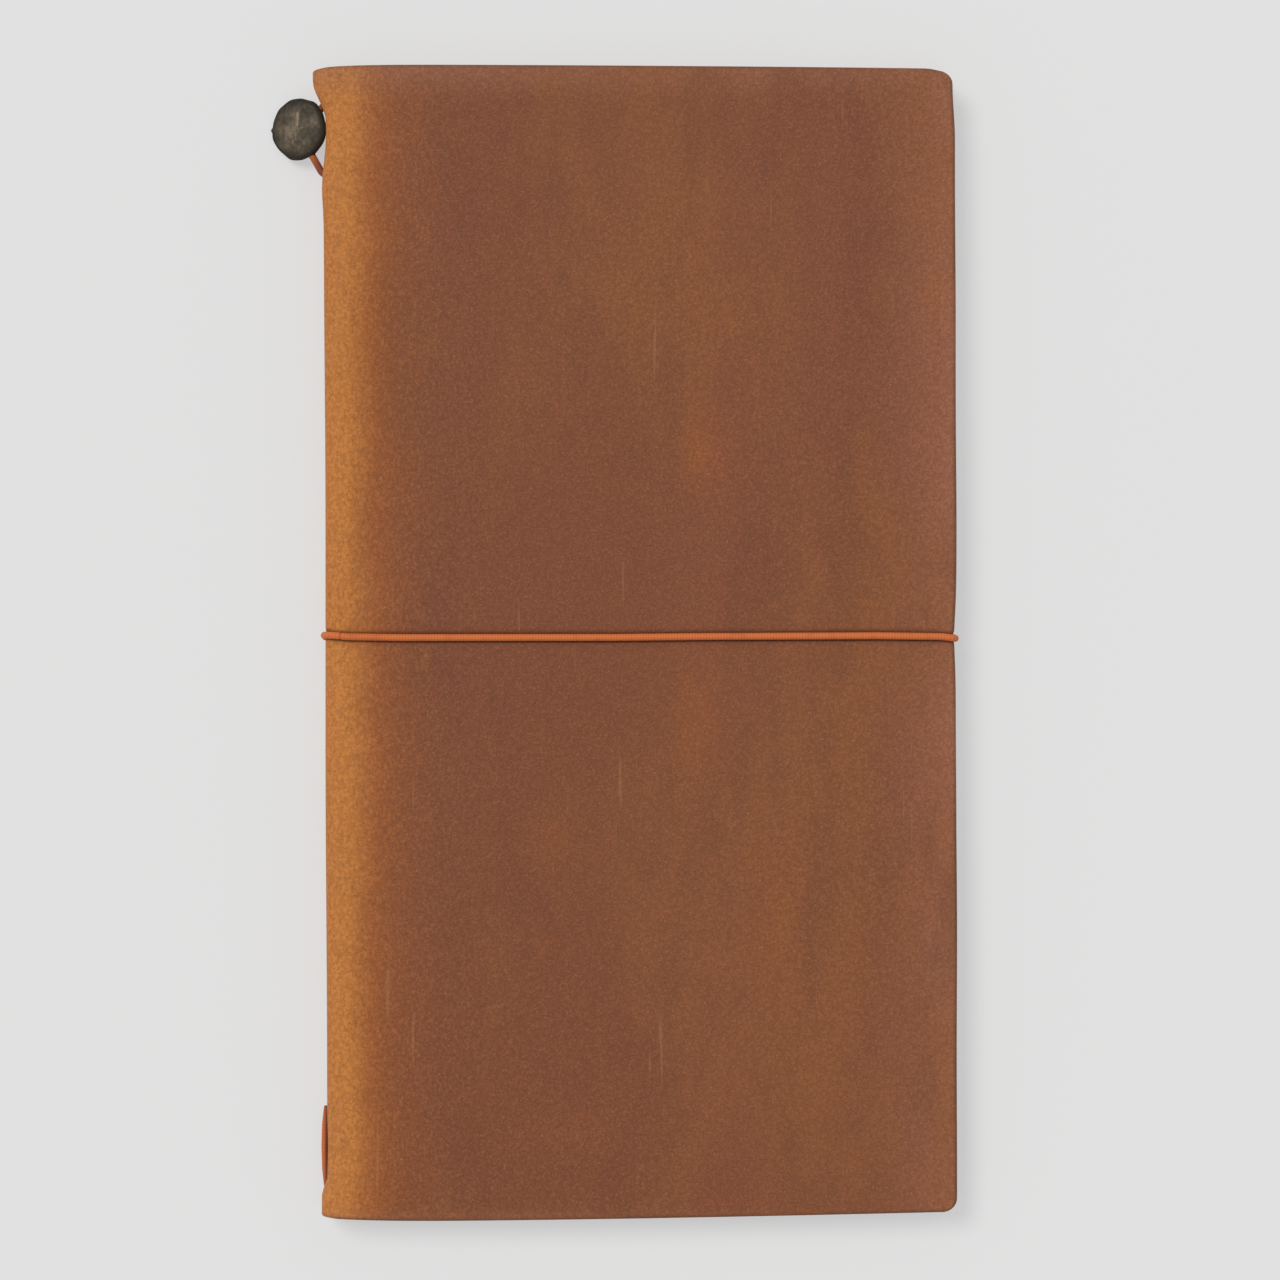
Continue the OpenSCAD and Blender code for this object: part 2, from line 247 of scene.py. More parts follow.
def pull_up_leather():
    """Vegetable-tanned hide full of wax and oil. Where it bends the oil is pushed away, so the
    brown turns golden along the folds; the golden band along the spine also holds a painted
    highlight of the lit fold. Where the elastic presses it turns dark, and that dark line also
    holds painted shade beside the elastic. The grain is a fine pebble, drawn out into short
    streaks near the spine, with pores and faint rubs."""
    material, tree, shader, place = new_material("waxed pull-up leather")
    apart = add(tree, "ShaderNodeSeparateXYZ", i0=place)
    x, y = apart.outputs["X"], apart.outputs["Y"]
    pressed_and_shaded = painted(tree, "pressed_and_shaded")
    rim = painted(tree, "rim")
    handled = painted(tree, "handled")
    # distance from the spine, wandering a little along its length
    drift = mottle(tree, place, 14, 4.0)
    wander = times_plus(tree, drift, 5 * MM, x)
    away = levels(tree, wander, SPINE_X * MM + 0.0025, SPINE_X * MM + 0.1225)
    away.node.interpolation_type = "LINEAR"
    # golden near the spine: pull-up colour of the bent hide together with a painted highlight of the lit
    # fold
    base = ramp(tree, away, [
        (0.0, "#C67C38"), (0.036, "#C77C33"), (0.056, "#B26A2C"), (0.08, "#9D5622"),
        (0.1, "#915024"), (0.125, "#894B25"), (0.18, "#804627"), (0.42, "#7F4728"),
        (0.62, "#83492B"), (0.85, "#82492C"), (0.915, "#895035"), (0.965, "#94593D"), (1.0, "#9B6246")])
    for inner, outer, most in ((HALF_L - 8, HALF_L, 0.5), (3 - HALF_L, -HALF_L, 0.4)):
        base = mix(tree, levels(tree, y, inner * MM, outer * MM, 0.0, most), base, linear("#A0694C"))
    # broad soft clouds, darker patches and small golden rubs
    tall = stretched(tree, place, (1.0, 0.4, 1.0))
    clouds = mottle(tree, tall, 28, 4.0, 0.55)
    golden = times(tree, levels(tree, clouds, 0.45, 0.66, 0.0, 0.7), levels(tree, away, 0.06, 0.2))
    base = mix(tree, golden, base, linear("#8F562E"))
    dark = mottle(tree, tall, 13, 5.0, 0.55)
    flat_part = levels(tree, away, 0.03, 0.2, 0.12, 1.0)
    darker = times(tree, levels(tree, dark, 0.48, 0.68, 0.0, 0.42), flat_part)
    base = mix(tree, darker, base, linear("#6E3F28"))
    rubs = mottle(tree, tall, 6.5, 7.0, 0.68)
    base = mix(tree, levels(tree, rubs, 0.6, 0.74, 0.0, 0.42), base, linear("#9E5C2A"))
    soft = times(tree, handled, levels(tree, rubs, 0.35, 0.6, 0.35, 1.0))
    base = mix(tree, soft, base, linear("#A35A26"))
    # pebble of the grain, pores, and pale specks where the wax has been rubbed off
    pebble = add(tree, "ShaderNodeTexVoronoi", {"feature": "SMOOTH_F1"},
                 Vector=place, Scale=cells_per(0.8), Smoothness=0.5)
    grain = mottle(tree, place, 0.36, 3.0, 0.6)
    base = mix(tree, levels(tree, grain, 0.5, 0.66, 0.0, 0.3), base, linear("#4F2A16"))
    base = mix(tree, levels(tree, grain, 0.47, 0.33, 0.0, 0.26), base, linear("#AD7A58"))
    base = mix(tree, levels(tree, pebble.outputs["Distance"], 0.32, 0.62, 0.0, 0.2), base, linear("#55301A"))
    # short streaks beside the spine
    drawn = stretched(tree, place, (1.0, 0.5, 1.0))
    streak = mottle(tree, drawn, 0.5, 3.0, 0.6)
    near = levels(tree, away, 0.32, 0.05)
    deep = times(tree, levels(tree, streak, 0.5, 0.68, 0.0, 0.26), near)
    base = mix(tree, deep, base, linear("#6B3A18"))
    lift = times(tree, levels(tree, streak, 0.48, 0.3, 0.0, 0.2), near)
    base = mix(tree, lift, base, linear("#C4844A"))
    # a few long thin scratches, each way
    lines = None
    for turn, thin, least in ((0.35, 0.05, 0.735), (-0.9, 0.045, 0.75)):
        lean = stretched(tree, place, (1.0, thin, 1.0), turn)
        scratch = mottle(tree, lean, 1.7, 1.5)
        lines = levels(tree, scratch, least, least + 0.03)
        seen = levels(tree, scratch, least, least + 0.04, 0.0, 0.22)
        base = mix(tree, seen, base, linear("#B07E55"))
    # dark line along the closure elastic: oil squeezed out of the leather, and painted shade beside the
    # elastic
    base = mix(tree, levels(tree, pressed_and_shaded, 0.0, 1.0, 0.0, 0.85), base, linear("#4C2109"))
    spotted = times(tree, rim, levels(tree, rubs, 0.62, 0.45, 0.1, 0.6))
    base = mix(tree, spotted, base, linear("#5A3B2C"))
    plug(tree, shader, Base_Color=base, Roughness=levels(tree, clouds, 0.3, 0.7, 0.52, 0.64),
         Specular_IOR_Level=0.28)
    normal = bump(tree, times_plus(tree, pebble.outputs["Distance"], -0.5, grain), 0.06)
    plug(tree, shader, Normal=bump(tree, lines, -0.02, normal))
    return material


def cut_leather():
    """The cut edge of the hide: packed fibre, darker where wax has soaked in."""
    material, tree, shader, place = new_material("cut leather edge")
    flat = stretched(tree, place, (1.0, 1.0, 3.0))
    fibre = mottle(tree, flat, 0.9, 6.0, 0.7)
    spots = mottle(tree, place, 4, 3.0)
    base = ramp(tree, fibre, [(0.3, "#5A3520"), (0.52, "#7A4B2C"), (0.72, "#9A6436")])
    base = mix(tree, levels(tree, spots, 0.6, 0.7, 0.0, 0.6), base, linear("#B8742F"))
    plug(tree, shader, Base_Color=base, Roughness=0.75, Normal=bump(tree, fibre, 0.12))
    return material


def flesh_leather():
    """The inside of the hide: a short brushed nap, paler and quite dull."""
    material, tree, shader, place = new_material("leather flesh side")
    nap = mottle(tree, place, 0.6, 8.0, 0.75)
    patch = mottle(tree, place, 22, 4.0)
    base = ramp(tree, nap, [(0.3, "#8A5E3C"), (0.5, "#A3764F"), (0.7, "#B98E66")])
    base = mix(tree, levels(tree, patch, 0.45, 0.7, 0.0, 0.4), base, linear("#8B6040"))
    plug(tree, shader, Base_Color=base, Roughness=0.92, Sheen_Weight=0.25, Sheen_Roughness=0.5,
         Normal=bump(tree, nap, 0.1))
    return material


def braided_elastic():
    """Rubber core under a tight braid of dyed polyester. The colour holds a painted highlight on the
    yarn crowns and painted shade where the yarns cross. The tail stretch at the spine and the
    clasp's upper end are painted darker as painted shade under the leather, and the clasp's lower
    end is painted darker too. The map runs round the cord and along it, in yarn widths."""
    material, tree, shader, place = new_material("braided round elastic")
    yarn = add(tree, "ShaderNodeUVMap", {"uv_map": "braid"}).outputs["UV"]
    height = painted(tree, "crown")
    shade = mottle(tree, place, 2.5, 4.0)
    thread = add(tree, "ShaderNodeTexNoise", Vector=yarn, Scale=9.0, Detail=3.0).outputs["Fac"]
    # painted highlight on the yarn crowns and painted shade where the yarns cross
    base = ramp(tree, height, [(0.0, "#7C300C"), (0.45, "#C66228"), (1.0, "#E27E3A")])
    base = mix(tree, levels(tree, shade, 0.5, 0.7, 0.0, 0.35), base, linear("#A84E22"))
    base = mix(tree, levels(tree, thread, 0.5, 0.7, 0.0, 0.3), base, linear("#E79456"))
    # painted darkening: painted shade on the tail stretch and the clasp's upper end, and a darker clasp
    # lower end
    cord_darkening = painted(tree, "cord_darkening")
    base = mix(tree, cord_darkening, base, linear("#642C0C"))
    plug(tree, shader, Base_Color=base, Roughness=0.68, Sheen_Weight=0.08, Sheen_Roughness=0.4,
         Normal=bump(tree, thread, 0.03))
    return material


def cast_tin():
    """Cast tin, beaten by hand and left to darken. High places are rubbed to a dull grey shine,
    and the rim and the hollows hold brown-black tarnish."""
    material, tree, shader, place = new_material("beaten tin")
    worn = painted(tree, "worn")
    grit = mottle(tree, place, 0.5, 6.0, 0.7)
    cloud = mottle(tree, place, 3, 4.0, 0.6)
    rubbed = times_plus(tree, grit, 0.5, worn)
    base = ramp(tree, levels(tree, rubbed, 0.15, 1.15),
                [(0.0, "#241F18"), (0.3, "#40382C"), (0.65, "#584D3D"), (1.0, "#82745F")])
    base = mix(tree, levels(tree, cloud, 0.48, 0.7, 0.0, 0.45), base, linear("#40352A"))
    plug(tree, shader, Base_Color=base, Metallic=0.35,
         Roughness=levels(tree, rubbed, 0.2, 1.1, 0.78, 0.6), Normal=bump(tree, grit, 0.03))
    return material


def kraft_card():
    """Unbleached kraft card: brown pulp with darker and paler fibres, uncoated."""
    material, tree, shader, place = new_material("kraft card")
    along = stretched(tree, place, (1.0, 0.25, 1.0))
    fibre = mottle(tree, along, 0.5, 5.0, 0.7)
    cloud = mottle(tree, place, 6, 3.0)
    base = ramp(tree, fibre, [(0.3, "#8A6C4A"), (0.5, "#A88660"), (0.7, "#BFA07A")])
    base = mix(tree, levels(tree, cloud, 0.45, 0.7, 0.0, 0.25), base, linear("#96754F"))
    plug(tree, shader, Base_Color=base, Roughness=0.88, Normal=bump(tree, fibre, 0.03))
    return material


def writing_paper():
    """Uncoated cream writing paper, with the faint cloudiness of squeezed pulp."""
    material, tree, shader, place = new_material("cream writing paper")
    pulp = mottle(tree, place, 1.2, 6.0, 0.6)
    cloud = mottle(tree, place, 14, 3.0)
    base = ramp(tree, pulp, [(0.3, "#E4DAC2"), (0.6, "#EDE5D1"), (0.8, "#F2ECDC")])
    base = mix(tree, levels(tree, cloud, 0.5, 0.7, 0.0, 0.3), base, linear("#E6DBC0"))
    plug(tree, shader, Base_Color=base, Roughness=0.9, Normal=bump(tree, pulp, 0.015))
    return material


def drawn_wire():
    """Tinned steel stitching wire, with fine draw lines along it."""
    material, tree, shader, place = new_material("drawn steel wire")
    along = stretched(tree, place, (1.0, 0.05, 1.0))
    lines = mottle(tree, along, 0.12, 3.0)
    plug(tree, shader, Base_Color=ramp(tree, lines, [(0.3, "#8C8A86"), (0.7, "#C4C2BE")]), Metallic=1.0,
         Roughness=levels(tree, lines, 0.3, 0.7, 0.25, 0.42))
    return material


def pale_table():
    """White acrylic lit from behind, so the shadow on it stays pale."""
    material, tree, shader, place = new_material("back-lit acrylic")
    cloud = mottle(tree, place, 400, 1.0)
    plug(tree, shader, Base_Color=ramp(tree, cloud, [(0.0, "#929292"), (1.0, "#939393")]),
         Emission_Color=ramp(tree, cloud, [(0.0, "#B7B7B7"), (1.0, "#B8B8B8")]), Emission_Strength=1.0,
         Roughness=0.95, Specular_IOR_Level=0.0)
    return material


LEATHER_FACE = pull_up_leather()
LEATHER_CUT = cut_leather()
LEATHER_FLESH = flesh_leather()
ELASTIC = braided_elastic()
TIN = cast_tin()
KRAFT = kraft_card()
PAPER = writing_paper()
WIRE = drawn_wire()
TABLE = pale_table()


# ---------------------------------------------------------------- mesh helpers

def make(name, points, faces, materials, indices=None, smooth=True):
    """Mesh object from points in millimetres."""
    mesh = bpy.data.meshes.new(name)
    mesh.from_pydata([tuple(p) for p in np.asarray(points, float) * MM], [], faces)
    for material in materials:
        mesh.materials.append(material)
    if indices is not None:
        mesh.polygons.foreach_set("material_index", indices)
    mesh.polygons.foreach_set("use_smooth", [smooth] * len(mesh.polygons))
    mesh.update()
    piece = bpy.data.objects.new(name, mesh)
    bpy.context.collection.objects.link(piece)
    return piece


def attribute(piece, name, values):
    layer = piece.data.attributes.new(name, "FLOAT", "POINT")
    layer.data.foreach_set("value", np.asarray(values, np.float32))


def step(value, start, end):
    """Smooth step from 0 at start to 1 at end."""
    t = np.clip((value - start) / (end - start), 0, 1)
    return t * t * (3 - 2 * t)


def hump(value, middle, width):
    return np.exp(-((value - middle) / width) ** 2)


def rounding(radius, away):
    """How far a rounded edge lies back, at this distance from its side."""
    back = radius - np.sqrt(np.maximum(radius ** 2 - (radius - away) ** 2, 0))
    return np.where(away < radius, back, 0)


def noise_at(x, y, level):
    """Smooth noise at each pair of x and y. Another level gives another pattern."""
    values = [noise.noise(Vector((a, b, level))) for a, b in zip(np.ravel(x), np.ravel(y))]
    return np.reshape(values, np.shape(x))


floor_size = 3000.0
floor = make("table top", [(-floor_size, -floor_size, 0), (floor_size, -floor_size, 0),
                           (floor_size, floor_size, 0), (-floor_size, floor_size, 0)],
             [(0, 1, 2, 3)], [TABLE])


# ---------------------------------------------------------------- the hide

HEAD_R = 1.9             # corner radius at the head of the fore-edge
TAIL_R = 2.5
NICK = 0.3               # how far the closure elastic dents the fore-edge
BED = 0.28               # depth of the bed that it presses into the leather
TAIL_BED = 0.45          # depth of the hollow under the spine elastic's tail stretch
EDGE_OUT = 0.12          # how far the middle of a cut edge stands out
ROUND = 0.45             # rounding of the cut edges
TAIL_LOW = tail_low.y    # ends of the tail stretch of the spine elastic
TAIL_HIGH = tail_high.y


# Rubbed patches of the front: place from the spine and the middle, half width, half length, strength.
RUBS = [(72, 36, 4, 9, 0.5), (70.5, -12, 4.5, 13, 0.5), (42, -38, 6, 7, 0.25), (86, -53, 4, 10, 0.3),
        (47, -93, 8, 4, 0.25), (116, 67, 2, 4, 0.35)]


def fold_flare(y):
    """How far the fold stands out from the straight line of the spine. It opens at both ends,
    where no refill holds it, and the elastic draws it in between the tail holes."""
    return (0.3 + 0.35 * step(y, 20, 85) + 0.35 * hump(y, 87, 4.5) - 0.45 * hump(y, 97.5, 6)
            + 2.1 * step(y, 100, 107.2)
            - 0.3 * step(y, -20, -83) - 0.15 * hump(y, -96, 6) + 1.0 * step(y, -102.2, -104.8))


# Wander of the front strand: place from the spine, height from its middle line.
BAND_LINE = [(0, 0.48), (3.6, 0.02), (14, -0.15), (55, -0.12), (71, 0.05), (105, 0.2),
             (117, 0.05), (120, -0.3)]


def band_line(x):
    """Height of the front strand of the closure elastic, x from the spine. It was slipped on by
    hand and wanders a little."""
    return BAND_Y + np.interp(x, [p[0] for p in BAND_LINE], [p[1] for p in BAND_LINE])


def head_end(x):
    d = x - SPINE_X
    return (HALF_L - 0.9 * np.exp(-np.maximum(d, 0) / 4) - 0.8 * (np.clip(d, 0, None) / 120) ** 2
            - 0.9 * step(d, 113.8, 119.8))


def tail_end(x):
    d = x - SPINE_X
    return HALF_L - 0.8 * np.exp(-np.maximum(d, 0) / 7) - 1.9 * (np.clip(d, 0, None) / 120) ** 1.6


def fore_edge(y):
    """Right-hand edge of a panel: nearly straight, a little uneven, with the elastic's dent."""
    wave = noise_at(y * 0.03, np.full(np.shape(y), 4.7), 0)
    dent = NICK * hump(y, BAND_Y, 0.9) + 0.3 * hump(y, BAND_Y, 6)
    return EDGE_X - 0.22 - 0.0012 * y - 0.5 * step(y, 97, 108) + 0.22 * wave - dent


def section_points():
    """Outer line of the hide from mid-spine to the fore-edge: x from the spine, height above the
    middle, and the outward normal. Each point is (x, z, nx, nz)."""
    rise = MID_Z - BASE_Z - FOLD_R
    line = [(0, rise * k / 6, -1, 0) for k in range(6)]
    for k in range(13):
        a = math.pi / 2 * k / 12
        line.append((FOLD_R - FOLD_R * math.cos(a), rise + FOLD_R * math.sin(a), -math.cos(a), math.sin(a)))
    straight = list(np.arange(4.2, 114, 1.6)) + [115.2, 116.6, 117.8, 118.7, 119.3, 119.65, 119.88, 120]
    line += [(x, rise + FOLD_R, 0, 1) for x in straight]
    return np.array(line)


def row_places():
    """Places of the rows along the cover, from -1 at the tail to 1 at the head, close together at
    the ends, under the closure elastic and round the holes."""
    end = [0, 0.06, 0.2, 0.45, 0.85, 1.4, 2.1, 3.0, 4.0]
    y = [-HALF_L + d for d in end] + [HALF_L - d for d in end]
    y += list(np.arange(-HALF_L + 5.5, HALF_L - 5, 1.7))
    y += list(np.arange(BAND_Y - 2.4, BAND_Y + 2.5, 0.2))
    y = sorted(y)
    kept = [y[0]]
    for value in y[1:]:
        near = abs(value - BAND_Y) < 2.5 or HALF_L - abs(value) < 4.2
        if value - kept[-1] > (0.05 if near else 0.8):
            kept.append(value)
    kept[-1] = HALF_L
    return np.array(kept)


def hide_half(name, upper):
    """One panel with its half of the spine, 2 mm thick, with rounded cut edges."""
    side = 1 if upper else -1
    line = section_points()
    rows = row_places()
    count, across = len(line), len(rows)
    x0 = np.repeat(line[:, 0][None, :], across, 0)
    z0 = np.repeat(line[:, 1][None, :], across, 0)
    nx = np.repeat(line[:, 2][None, :], across, 0)
    nz = np.repeat(line[:, 3][None, :], across, 0)
    y0 = np.repeat(rows[:, None], count, 1)
    # corners: rows near the ends stop short of the fore-edge
    from_end = HALF_L - np.abs(y0)
    corner = np.where(y0 > 0, HEAD_R, TAIL_R)
    cut = rounding(corner, from_end)
    reach = fore_edge(y0) - SPINE_X - cut
    x = np.where(x0 > FOLD_R, FOLD_R + (x0 - FOLD_R) * (reach - FOLD_R) / (EDGE_X - SPINE_X - FOLD_R), x0)
    from_edge = (reach - x) * np.where(x0 > FOLD_R, 1, 9)
    y = np.where(y0 > 0, y0 * head_end(SPINE_X + x) / HALF_L, y0 * tail_end(SPINE_X + x) / HALF_L)
    # slow waves in the panel
    wave = noise_at(x * 0.022, y * 0.016, 3.1 * side)
    swell = 0.16 * wave * step(x, 4, 25) * step(x, 120, 108)
    edge_round = np.minimum(from_end, from_edge)
    shave = rounding(ROUND, edge_round)
    middle_y = band_line(x) if upper else BAND_Y
    groove = hump(y, middle_y, 0.72)
    bed = BED * groove
    # the tail stretch of the spine elastic lies in a hollow of its own
    tail_bed = TAIL_BED * hump(z0, 0, 0.75) * step(y, TAIL_LOW - 0.6, TAIL_LOW + 1)
    tail_bed = np.where(x0 < FOLD_R / 2, tail_bed * step(y, TAIL_HIGH + 0.6, TAIL_HIGH - 1), 0)
    flare = fold_flare(y) * np.exp(-(x / 7.0) ** 2)
    px = SPINE_X + x - flare

    def skin(depth, push):
        lift = side * (z0 + nz * (-depth + push) + swell)
        return np.stack([px + nx * (-depth + push), y, MID_Z + lift], -1)

    outer = skin(0, -shave - bed - tail_bed)
    inner = skin(LEATHER, shave - 0.35 * bed)
    edge = skin(LEATHER / 2, 0)
    points = np.concatenate([outer.reshape(-1, 3), inner.reshape(-1, 3)])
    total = across * count
    faces, kinds = [], []

    def at(j, i, layer=0):
        return layer * total + j * count + i

    for j in range(across - 1):
        for i in range(count - 1):
            quad = (at(j, i), at(j, i + 1), at(j + 1, i + 1), at(j + 1, i))
            faces.append(quad)
            kinds.append(0)
            quad = (at(j, i, 1), at(j + 1, i, 1), at(j + 1, i + 1, 1), at(j, i + 1, 1))
            faces.append(quad)
            kinds.append(2)
    rim = [(0, i) for i in range(count)] + [(j, count - 1) for j in range(1, across)]
    rim += [(across - 1, i) for i in range(count - 2, -1, -1)] + [(j, 0) for j in range(across - 2, 0, -1)]
    # the middle of a cut edge stands out a little
    middle = {}
    extra = []
    for number, (j, i) in enumerate(rim):
        p = edge[j, i].copy()
        if i == count - 1:
            p[0] += EDGE_OUT
        if j == 0:
            p[1] -= EDGE_OUT
        if j == across - 1:
            p[1] += EDGE_OUT
        middle[(j, i)] = 2 * total + number
        extra.append(p)
    points = np.concatenate([points, np.array(extra)])
    for a, b in zip(rim, rim[1:] + rim[:1]):
        kind = 2 if a[1] == 0 and b[1] == 0 else 1
        faces.append((at(*b), at(*a), middle[a], middle[b]))
        faces.append((middle[b], middle[a], at(*a, 1), at(*b, 1)))
        kinds += [kind, kind]
    if side < 0:
        faces = [tuple(reversed(f)) for f in faces]
    hide = make(name, points, faces, [LEATHER_FACE, LEATHER_CUT, LEATHER_FLESH], kinds)
    # the dark line along the elastic: squeezed-out oil, and painted shade beside the elastic
    lip = hump(y, middle_y, 1.15)
    rim_line = np.clip(1 - edge_round / 0.75, 0, 1)
    rest = np.zeros(len(points) - total)
    attribute(hide, "pressed_and_shaded", np.concatenate([lip.ravel(), rest]))
    attribute(hide, "rim", np.concatenate([rim_line.ravel(), rest]))
    handled = sum(most * hump(x, mid_x, wide) * hump(y, mid_y, tall)
                  for mid_x, mid_y, wide, tall, most in RUBS)
    attribute(hide, "handled", np.concatenate([(handled * (side > 0)).ravel(), rest]))
    return hide


front_leather = hide_half("front_leather", True)
back_leather = hide_half("back_leather", False)
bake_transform(back_leather)
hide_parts("back_cover")
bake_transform(front_leather)
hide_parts("front_cover", "spine")


# ---------------------------------------------------------------- braided cords

YARNS = 6                # yarns that run each way round the braid
YARN_PITCH = 1.1         # length of one crossing and the next along the cord
CORD_SIDES = 24
RING_STEP = 0.14


def unit(v):
    return v / np.linalg.norm(v)


def rounded(corners, radii, steps=8):
    """Line through the corners with each inner one rounded."""
    corners = [np.array(c, float) for c in corners]
    line = [corners[0]]
    for before, p, after, r in zip(corners, corners[1:], corners[2:], radii):
        u, v = unit(before - p), unit(after - p)
        turn = math.pi - math.acos(float(np.clip(u @ v, -1, 1)))
        if turn < 0.001:
            line.append(p)
            continue
        reach = r * math.tan(turn / 2)
        middle = p + unit(u + v) * r / math.cos(turn / 2)
        a, b = p + u * reach - middle, p + v * reach - middle
        for k in range(steps + 1):
            t = k / steps
            line.append(middle + (math.sin((1 - t) * turn) * a + math.sin(t * turn) * b) / math.sin(turn))
    return np.array(line + [corners[-1]])


def resample(line, spacing):
    lengths = np.concatenate([[0], np.cumsum(np.linalg.norm(np.diff(line, axis=0), axis=1))])
    count = max(2, int(round(lengths[-1] / spacing)) + 1)
    at = np.linspace(0, lengths[-1], count)
    return np.stack([np.interp(at, lengths, line[:, k]) for k in range(3)], 1), at


def braid(name, line, diameter, darkening_at=None):
    """Braided cord along a line. Where yarns cross over, the surface stands proud. The last
    argument, a function, gives how much darker the cord is painted at its points."""
    points, at = resample(np.array(line, float), RING_STEP)
    run = np.gradient(points, axis=0)
    run /= np.linalg.norm(run, axis=1)[:, None]
    u = np.cross(run[0], [0.3, 0.2, 0.93])
    us = []
    for t in run:
        u = unit(u - (u @ t) * t)
        us.append(u)
    us = np.array(us)
    vs = np.cross(run, us)
    angle = np.linspace(0, 2 * math.pi, CORD_SIDES, endpoint=False)
    phase = 2 * math.pi * at[:, None] / YARN_PITCH
    one = np.cos(YARNS * angle[None, :] + phase)
    two = np.cos(YARNS * angle[None, :] - phase)
    crown = np.clip(0.5 + 0.35 * one * two + 0.15 * (np.maximum(one, two)), 0, 1)
    end = np.minimum(at, at[-1] - at)
    taper = np.where(end < 0.15, 0.75 + 0.25 * end / 0.15, 1)[:, None]
    radius = diameter / 2 * (0.93 + 0.07 * crown) * taper
    ring = (points[:, None, :] + radius[:, :, None] * (np.cos(angle)[None, :, None] * us[:, None, :]
            + np.sin(angle)[None, :, None] * vs[:, None, :]))
    rings = len(points)
    surface = ring.reshape(-1, 3)
    faces = []
    for i in range(rings - 1):
        for k in range(CORD_SIDES):
            a, b = i * CORD_SIDES + k, i * CORD_SIDES + (k + 1) % CORD_SIDES
            faces.append((a, b, b + CORD_SIDES, a + CORD_SIDES))
    first, last = len(surface), len(surface) + 1
    surface = np.concatenate([surface, [points[0] - run[0] * 0.06], [points[-1] + run[-1] * 0.06]])
    top = (rings - 1) * CORD_SIDES
    for k in range(CORD_SIDES):
        n = (k + 1) % CORD_SIDES
        faces.append((n, k, first))
        faces.append((top + k, top + n, last))
    cord = make(name, surface, faces, [ELASTIC])
    attribute(cord, "crown", np.concatenate([crown.ravel(), [0.2, 0.2]]))
    attribute(cord, "cord_darkening", np.zeros(len(surface)) if darkening_at is None else darkening_at(surface))
    layer = cord.data.uv_layers.new(name="braid")
    loops = np.zeros(len(cord.data.loops), np.int32)
    cord.data.loops.foreach_get("vertex_index", loops)
    around = np.concatenate([np.tile(angle / (2 * math.pi) * 2 * YARNS, rings), [0, 0]])
    length = np.concatenate([np.repeat(at / YARN_PITCH * 2, CORD_SIDES), [0, at[-1]]])
    layer.data.foreach_set("uv", np.stack([around[loops], length[loops]], 1).astype(np.float32).ravel())
    return cord


def at_spine(x, y, z):
    """Place measured from the spine's outer face and the middle of the cover."""
    return (SPINE_X + x, y, MID_Z + z)


def finish_cord(cord, body, nodes):
    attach(cord, body)
    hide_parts(*nodes)


# the closure elastic: over the front cover, round the fore-edge and back under the cover
band_r = BAND_D / 2
over_z = over_high.z - band_r
under_z = under_low.z + band_r
hook_start = SPINE_X + 2.8
edge_line = over_high.x - band_r - 0.35
front_line = [(SPINE_X + x, band_line(x), over_z) for x in np.arange(2.8, 118.4, 1.3)]
front_band = braid("closure_band_front", rounded(
    front_line + [(edge_line, band_line(120), over_z), (edge_line, BAND_Y - 0.1, under_z),
                  (edge_line - 1.5, BAND_Y, under_z)],
    [4.0] * (len(front_line) - 1) + [1.2, 1.2]), BAND_D)
finish_cord(front_band, "band", ["closure_band_front"])
back_band = braid("closure_band_back", [(hook_start, BAND_Y, under_z),
                                        (edge_line - 1.5, BAND_Y, under_z)], BAND_D)
finish_cord(back_band, "back", ["closure_band_back"])

hook_x = hook_low.x + band_r
upper_hook = braid("closure_band_hook_front", rounded(
    [(hook_start, band_line(2.8), over_z), (hook_x, band_line(0), over_z),
     (hook_x, BAND_Y + 0.2, MID_Z + band_r), at_spine(LEATHER, BAND_Y, band_r)], [3.2, 0.6]), BAND_D)
lower_hook = braid("closure_band_hook_back", rounded(
    [(hook_start, BAND_Y, under_z), (hook_x, BAND_Y, under_z),
     (hook_x, BAND_Y, MID_Z - band_r), at_spine(LEATHER, BAND_Y, -band_r)], [3.28, 0.6]), BAND_D)
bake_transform(upper_hook)
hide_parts("closure_band_hook")
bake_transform(lower_hook)

def knot_line():
    """Middle of the cord in the knot inside the spine: a ring that is bent to and fro."""
    line = []
    for a in np.linspace(0, 2 * math.pi, 40):
        x = 0.2 * math.cos(a) + 1.5 + 0.55 * math.sin(2 * a)
        z = 0.85 + 0.62 * math.cos(a) * (1 + 0.2 * math.cos(2 * a))
        line.append(at_spine(x, BAND_Y + 1.35 * math.sin(a), z))
    return line


knot = braid("closure_band_knot", knot_line(), BAND_D * 0.92)
finish_cord(knot, "spine", ["closure_band_knot"])

# the spine elastic, in the four stretches between its holes
CORD_IN = 0.6            # where the cords of the head holes end inside the leather


def holes():
    """Heights of the four spine holes along the cover: two at the head, two at the tail."""
    r = CORD_D / 2
    return (box_mm("clasp_elastic")[1].y - r, inner_high.y - r, inner_low.y + r, tail_low.y + r)


